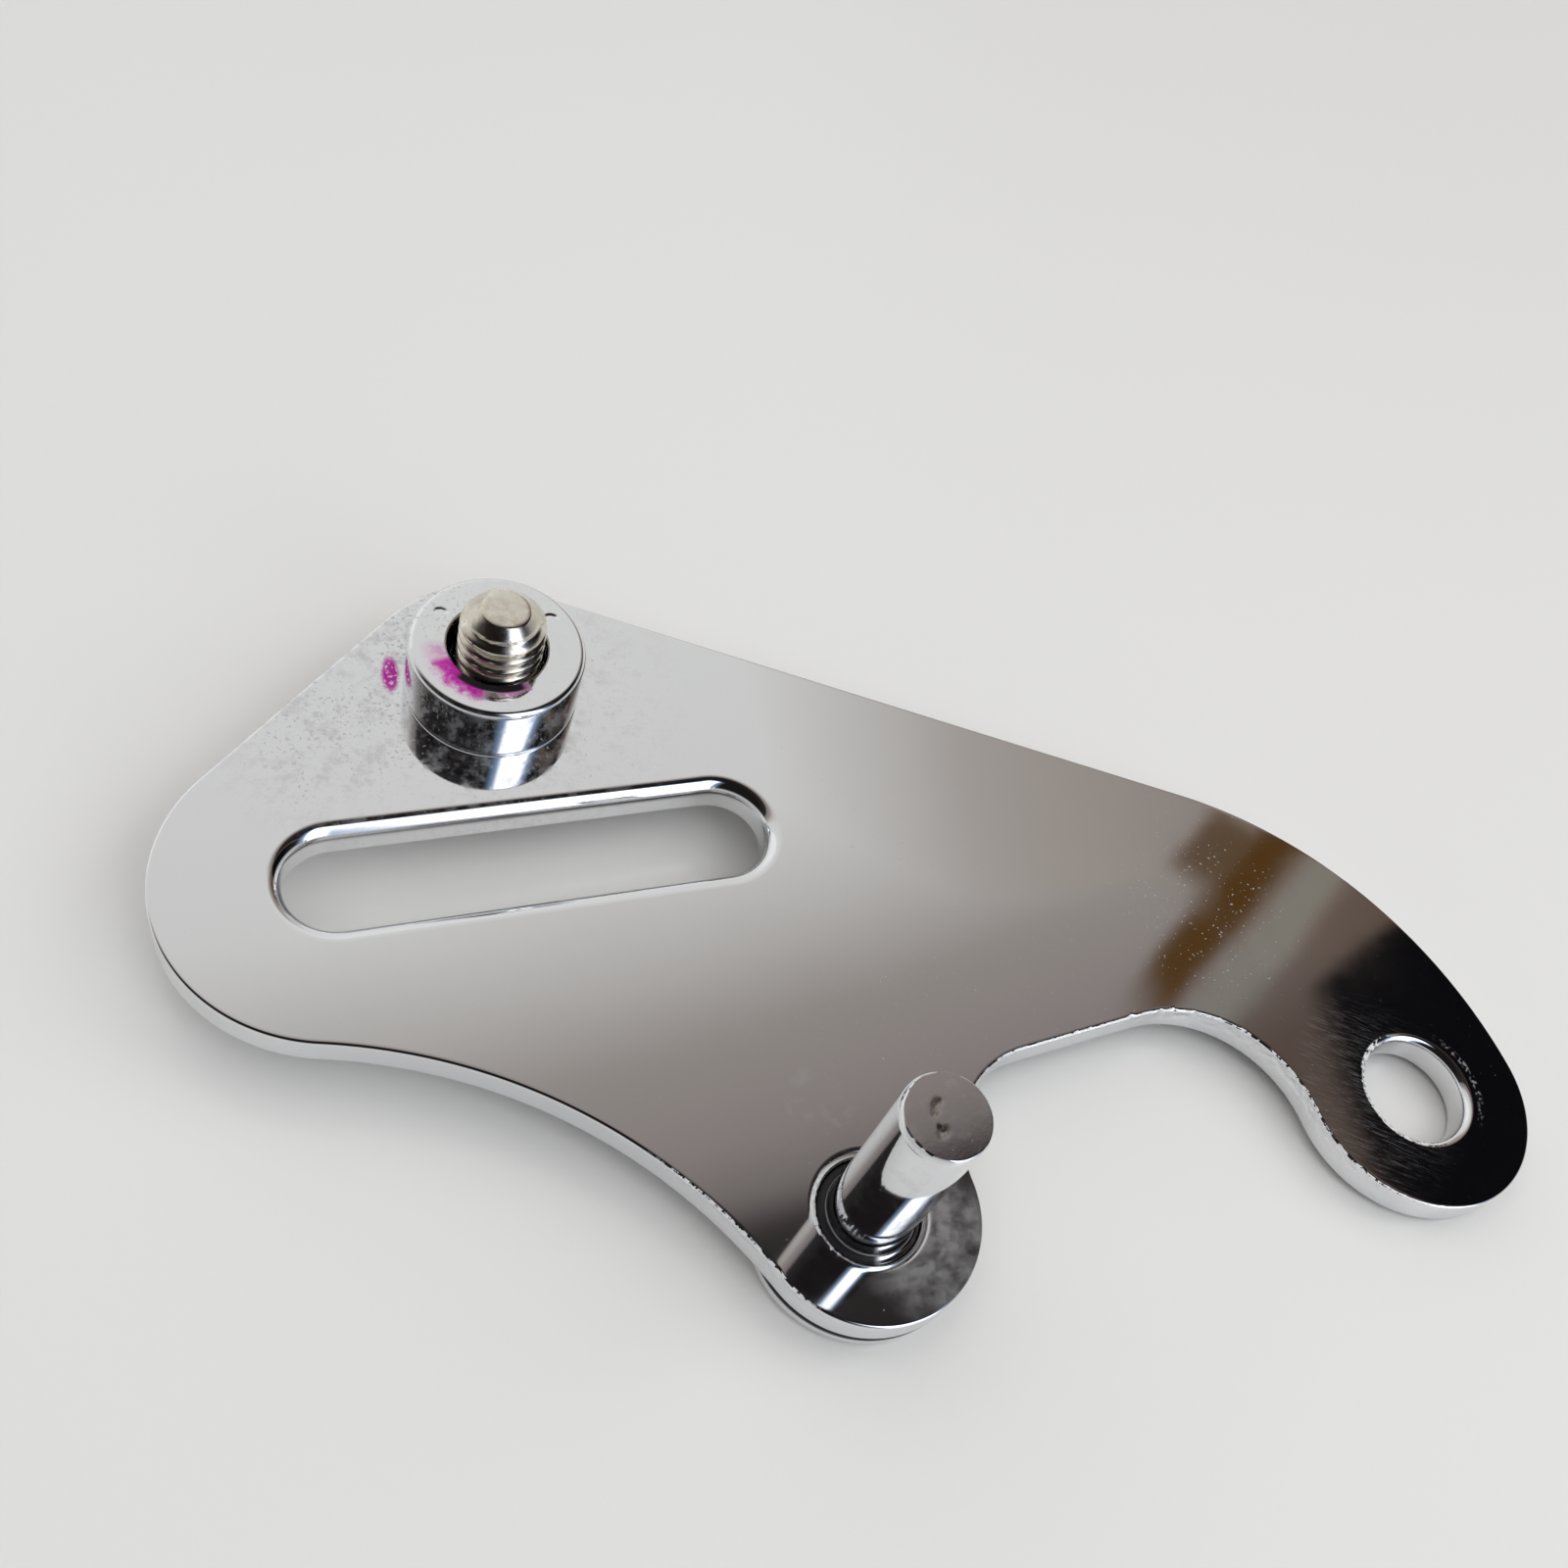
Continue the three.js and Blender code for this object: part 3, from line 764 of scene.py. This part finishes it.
def spacer_chrome():
    g = Graph("spacer_chrome")
    grain = g.noise(1.9, 3.0, 0.6)
    clouds = g.noise(0.35, 4.0, 0.65)
    etched = g.step(g.math("SUBTRACT", grain, g.math(
        "MULTIPLY_ADD", g.near(-30, 74, SPACER_TOP, 3, 5), -0.1, 0.68)), 0.0, 0.06)
    film = g.step(clouds, 0.5, 0.75)
    worn = g.most(g.product(etched, 0.5), g.product(film, 0.12))
    # Bluish haze with brown patches down the side.
    reach, turn = g.polar(SPACER[0] + SPACER_SHIFT[0], SPACER[1] + SPACER_SHIFT[1])
    side = g.step(reach, SPACER_RADIUS - 0.35, SPACER_RADIUS - 0.1)
    mottle = g.product(side, g.step(g.noise(0.45, 4.0, 0.7), 0.42, 0.75), 0.3)
    tint = g.colour(g.between(turn, 0.5, 0.85, 0.25), SIDE_BLUE, SIDE_BROWN)
    # Marker ink: a wedge against the bore, with paler ink above it and a smear below.
    bleed = g.noise(0.9, 4.0, 0.7)
    spread = g.math("MULTIPLY_ADD", g.math("SUBTRACT", bleed, 0.5), 3.0, reach)
    heavy = g.product(g.sector(turn, 16, 62, 12),
                      g.step(spread, 7.1, 8.6, 1.0, 0.0), g.step(grain, 0.3, 0.5, 0.85, 1.0))
    faint = g.product(g.sector(turn, -2, 62, 12),
                      g.step(spread, 6.9, 9.0, 1.0, 0.0), g.step(bleed, 0.35, 0.6, 0.2, 0.5))
    smear = g.product(g.sector(turn, 78, 108, 6),
                      g.step(spread, 6.6, 7.3, 1.0, 0.0), 0.7)
    level = g.height()
    by_the_top = g.step(level, (SPACER_TOP - 1.2) * MM, (SPACER_TOP - 0.4) * MM)
    ink = g.product(g.most(heavy, faint, smear), by_the_top)
    # The ink has run black where it fills the bore's edge.
    pool = g.product(g.sector(turn, 40, 102, 10),
                     g.step(reach, 6.5, 6.8, 1.0, 0.0), by_the_top)
    base = g.colour(ink, g.colour(worn, CHROME, PIT), MARKER)
    base = g.colour(pool, g.colour(mottle, base, tint), DRIED_INK)
    metal = g.number(ink, g.number(worn, 1.0, 0.4), 0.35)
    metal = g.number(pool, g.number(mottle, metal, 0.6), 0.0)
    rough = g.math("MAXIMUM", g.number(worn, 0.06, 0.45), g.product(ink, 0.4))
    rough = g.most(rough, g.product(mottle, 0.9), g.product(pool, 0.7))
    g.bump(g.math("ADD", clouds, g.product(worn, -0.2)), 0.2, 0.02)
    return g.finish(Base_Color=base, Metallic=metal, Roughness=rough)


def pin_chrome():
    g = Graph("pin_chrome")
    clouds = g.noise(0.4, 4.0, 0.65)
    grain = g.noise(2.4, 2.0, 0.6)
    worn = g.most(g.math("MULTIPLY", g.step(clouds, 0.52, 0.8), 0.2),
                  g.math("MULTIPLY", g.step(grain, 0.7, 0.76), 0.4))
    dents = g.most(g.blot(-0.75, 1.1, PIN_TOP - 0.1, 0.35, 0.75, -0.6, 0.8),
                   g.blot(-0.85, -1.3, PIN_TOP - 0.1, 0.35, 0.6, -1.0, 0.8))
    dents = g.product(dents, g.step(g.noise(1.2, 4.0, 0.7), 0.4, 0.6, 0.15, 0.8))
    base = g.colour(dents, g.colour(worn, CHROME, PIT), DENT_TINT)
    rough = g.math("MAXIMUM", g.number(worn, 0.05, 0.4), g.product(dents, 0.35))
    # Painted shade: dark colour on the pin inside the plate's hole and in the seam under the
    # plate, where shade falls.
    level = g.height()
    reach, turn = g.polar(PIN[0], PIN[1])
    painted_shade = g.most(
        g.between(level, 1.75 * MM, 4.9 * MM, 0.3 * MM),
        g.product(g.between(level, 1.75 * MM, 6.4 * MM, 0.3 * MM),
                  g.step(reach, PIN_RADIUS + 0.05, PIN_RADIUS + 0.25),
                  g.sector(turn, -105, 75, 15)))
    base = g.colour(painted_shade, base, PAINTED_GAP_SHADE)
    metal = g.number(painted_shade, g.number(worn, 1.0, 0.5), 0.2)
    rough = g.math("MAXIMUM", rough, g.product(painted_shade, 0.45))
    g.bump(clouds, 0.2, 0.015)
    return g.finish(Base_Color=base, Metallic=metal, Roughness=rough)


def nickel():
    g = Graph("bolt_nickel")
    clouds = g.noise(0.55, 4.0, 0.65)
    drag = g.noise(2.5, 2.0, 0.6, (1.0, 1.0, 0.25))
    tint = g.colour(g.step(clouds, 0.35, 0.7), NICKEL, NICKEL_DULL)
    stains = g.step(g.noise(1.6, 3.0, 0.6), 0.62, 0.72, 0.0, 0.6)
    base = g.colour(stains, tint, NICKEL_DARK)
    rough = g.step(clouds, 0.3, 0.75, 0.12, 0.26)
    g.bump(g.math("ADD", drag, clouds), 0.25, 0.03)
    return g.finish(Base_Color=base, Metallic=1.0, Roughness=rough)


# ---------------------------------------------------------------- pieces

pieces = {
    build_plate(): plate_chrome(),
    build_spacer(): spacer_chrome(),
    build_pin(): pin_chrome(),
}
bolt_finish = nickel()
pieces[build_washer()] = bolt_finish
pieces[build_bolt()] = bolt_finish
for piece, material in pieces.items():
    piece.data.materials.append(material)


# ---------------------------------------------------------------- floor

# The bracket lies tilted, on the pin's head, the bolt's head and the eye's lower edge.
REST_POINTS = [
    Vector((5.6, -9.7, 0.0)),
    Vector((-20.77, 62.41, -4.6)),
    Vector((75.51, -12.21, 2.25)),
]
FLOOR_REACH = 1500.0


def build_floor():
    a, b, c = REST_POINTS
    up = (c - a).cross(b - a).normalized()
    if up.z < 0:
        up.negate()
    centre = (a + b + c) / 3
    turn = Vector((0, 0, 1)).rotation_difference(up).to_matrix()
    across = [turn @ Vector((x * FLOOR_REACH, y * FLOOR_REACH, 0)) + centre for x, y in
              ((-1, -1), (1, -1), (1, 1), (-1, 1))]
    mesh = bpy.data.meshes.new("floor")
    mesh.from_pydata([tuple(v * MM) for v in across], [], [(0, 1, 2, 3)])
    floor = bpy.data.objects.new("floor", mesh)
    bpy.context.scene.collection.objects.link(floor)
    g = Graph("floor")
    g.finish(Base_Color=(0.785, 0.78, 0.76, 1.0), Roughness=0.22)
    mesh.materials.append(g.material)
    # Seen from below, the floor is left out.
    clear = g.add("ShaderNodeBsdfTransparent").outputs[0]
    below = g.add("ShaderNodeNewGeometry").outputs["Backfacing"]
    either = g.add("ShaderNodeMixShader", below, g.shader.outputs[0], clear)
    g.put(g.tree.nodes["Material Output"].inputs["Surface"], either.outputs[0])


build_floor()


# ---------------------------------------------------------------- room light

class Sky(Graph):
    """The world's node tree, with the same short calls as a material's."""

    def __init__(self):
        world = bpy.data.worlds.new("studio")
        bpy.context.scene.world = world
        world.use_nodes = True
        self.tree = world.node_tree
        self.place = self.add("ShaderNodeTexCoord").outputs["Generated"]

    def ramp(self, value, stops):
        """Linear steps through (position, colour) stops."""
        node = self.add("ShaderNodeValToRGB", value)
        elements = node.color_ramp.elements
        while len(elements) < len(stops):
            elements.new(0.5)
        for element, (position, colour) in zip(elements, stops):
            element.position = position
            element.color = (*colour, 1.0)
        return node.outputs["Color"]


def build_sky():
    s = Sky()
    x, y, z = s.add("ShaderNodeSeparateXYZ", s.place).outputs
    # Pale room to the north, darker overhead and towards the east.
    north = s.ramp(y, [
        (0.0, (0.012, 0.010, 0.010)), (0.245, (0.03, 0.026, 0.026)), (0.254, (0.05, 0.042, 0.04)),
        (0.272, (0.19, 0.168, 0.16)), (0.30, (0.27, 0.235, 0.225)), (0.36, (0.33, 0.30, 0.275)),
        (0.42, (0.55, 0.53, 0.51)), (0.47, (0.70, 0.695, 0.68)), (0.62, (0.76, 0.76, 0.75)),
        (0.72, (1.2, 1.2, 1.18))])
    east = s.ramp(x, [
        (0.0, (0.95, 0.95, 0.95)), (0.10, (0.85, 0.85, 0.84)), (0.34, (0.74, 0.735, 0.72)),
        (0.40, (0.58, 0.56, 0.54)), (0.46, (0.42, 0.39, 0.36)), (0.50, (0.38, 0.34, 0.31)),
        (0.56, (0.33, 0.29, 0.26)), (0.64, (0.20, 0.15, 0.12)), (0.70, (0.10, 0.075, 0.06))])
    room = s.add("ShaderNodeMix", data_type="RGBA", blend_type="DARKEN")
    s.put(room.inputs["Factor"], 1.0)
    s.put(room.inputs["A"], north)
    s.put(room.inputs["B"], east)
    # A brown stripe with a smudge beside it, a pale band, a shade and the black shape beyond.
    along = s.add("ShaderNodeVectorMath", s.place, operation="DOT_PRODUCT")
    along.inputs[1].default_value = (0.57, -0.82, 0.0)
    stripe = s.math("SUBTRACT", along.outputs["Value"], 0.0515)
    brown = s.product(s.between(stripe, -0.003, 0.015, 0.010), s.step(x, 0.51, 0.545))
    across = s.add("ShaderNodeVectorMath", s.place, operation="DOT_PRODUCT")
    across.inputs[1].default_value = (0.82, 0.57, 0.0)
    smudge = s.product(s.between(stripe, -0.030, 0.0, 0.009),
                       s.between(across.outputs["Value"], 0.666, 0.690, 0.007), 0.85)
    brown = s.most(brown, smudge)
    pale = s.product(s.between(stripe, 0.031, 0.042, 0.010), s.step(x, 0.53, 0.57, 0.0, 0.8))
    shade = s.product(s.step(stripe, 0.044, 0.058), s.step(x, 0.53, 0.57, 0.0, 0.8))
    room = s.colour(brown, room.outputs["Result"], (0.088, 0.040, 0.008, 1.0))
    room = s.colour(pale, room, (0.25, 0.24, 0.20, 1.0))
    room = s.colour(shade, room, (0.125, 0.088, 0.070, 1.0))
    edge = s.math("MULTIPLY", s.math("MAXIMUM", s.math("SUBTRACT", y, 0.272), 0.0), 2.6)
    dark = s.step(s.math("SUBTRACT", x, edge), 0.598, 0.614)
    room = s.colour(dark, room, (0.004, 0.004, 0.005, 1.0))
    # Dim to the west, except towards the north.
    west = s.product(s.step(x, 0.0, 0.07, 1.0, 0.0), s.step(y, -0.1, 0.4, 1.0, 0.0))
    dimmed = s.add("ShaderNodeMix", data_type="RGBA", blend_type="DARKEN")
    s.put(dimmed.inputs["Factor"], west)
    s.put(dimmed.inputs["A"], room)
    dimmed.inputs["B"].default_value = (0.13, 0.13, 0.14, 1.0)
    room = dimmed.outputs["Result"]
    # Dim walls low down, all round, and paler ones to the north.
    low = s.step(z, 0.2, 0.45, 1.0, 0.0)
    walls = s.colour(s.step(y, -0.1, 0.4), (0.55, 0.55, 0.56, 1.0), (0.8, 0.8, 0.79, 1.0))
    room = s.colour(low, room, walls)
    # The window, tall and to the south-east, with a bluish edge.
    window_turn = 64
    turn = s.math("ARCTAN2", y, x)
    off = s.math("ABSOLUTE", s.math("ADD", turn, math.radians(window_turn)))
    tall = s.between(z, 0.18, 0.9, 0.07)
    halo = s.product(s.step(off, math.radians(18), math.radians(34), 1.0, 0.0), tall)
    core = s.product(s.step(off, math.radians(14), math.radians(22), 1.0, 0.0), tall)
    room = s.colour(halo, room, (0.30, 0.42, 0.62, 1.0))
    room = s.colour(core, room, (1.9, 1.95, 2.05, 1.0))
    # A plain pale backdrop behind the object.
    seen = s.add("ShaderNodeLightPath").outputs["Is Camera Ray"]
    room = s.colour(seen, room, (0.80, 0.80, 0.79, 1.0))
    background = s.tree.nodes["Background"]
    s.put(background.inputs["Color"], room)
    background.inputs["Strength"].default_value = 1.0


def build_lamp(name, place, size, power):
    """A soft light that gives the floor its light and shadows, and isn't mirrored."""
    data = bpy.data.lights.new(name, "AREA")
    data.shape = "DISK"
    data.size = size
    data.energy = power
    lamp = bpy.data.objects.new(name, data)
    bpy.context.scene.collection.objects.link(lamp)
    lamp.location = place
    aim = Vector((0.01, 0.03, 0.0)) - lamp.location
    lamp.rotation_euler = aim.to_track_quat("-Z", "Y").to_euler()
    lamp.visible_glossy = False


build_sky()
build_lamp("side_light", (0.48, -0.05, 0.46), 0.5, 1.2)
build_lamp("top_light", (-0.12, -0.1, 0.9), 1.5, 5.6)


# ---------------------------------------------------------------- camera and colour

def build_camera():
    data = bpy.data.cameras.new("camera")
    data.sensor_width = 36.0
    data.lens = 37.83
    data.clip_start = 0.01
    data.clip_end = 10.0
    camera = bpy.data.objects.new("camera", data)
    bpy.context.scene.collection.objects.link(camera)
    right = Vector((0.926854, -0.288011, 0.240813))
    up = Vector((0.114456, 0.827691, 0.549388))
    back = right.cross(up)
    turn = Matrix((right, up, back)).transposed().to_4x4()
    camera.matrix_world = Matrix.Translation(Vector((-61.842, -41.501, 158.618)) * MM) @ turn
    bpy.context.scene.camera = camera


build_camera()
bpy.context.scene.view_settings.view_transform = "Standard"
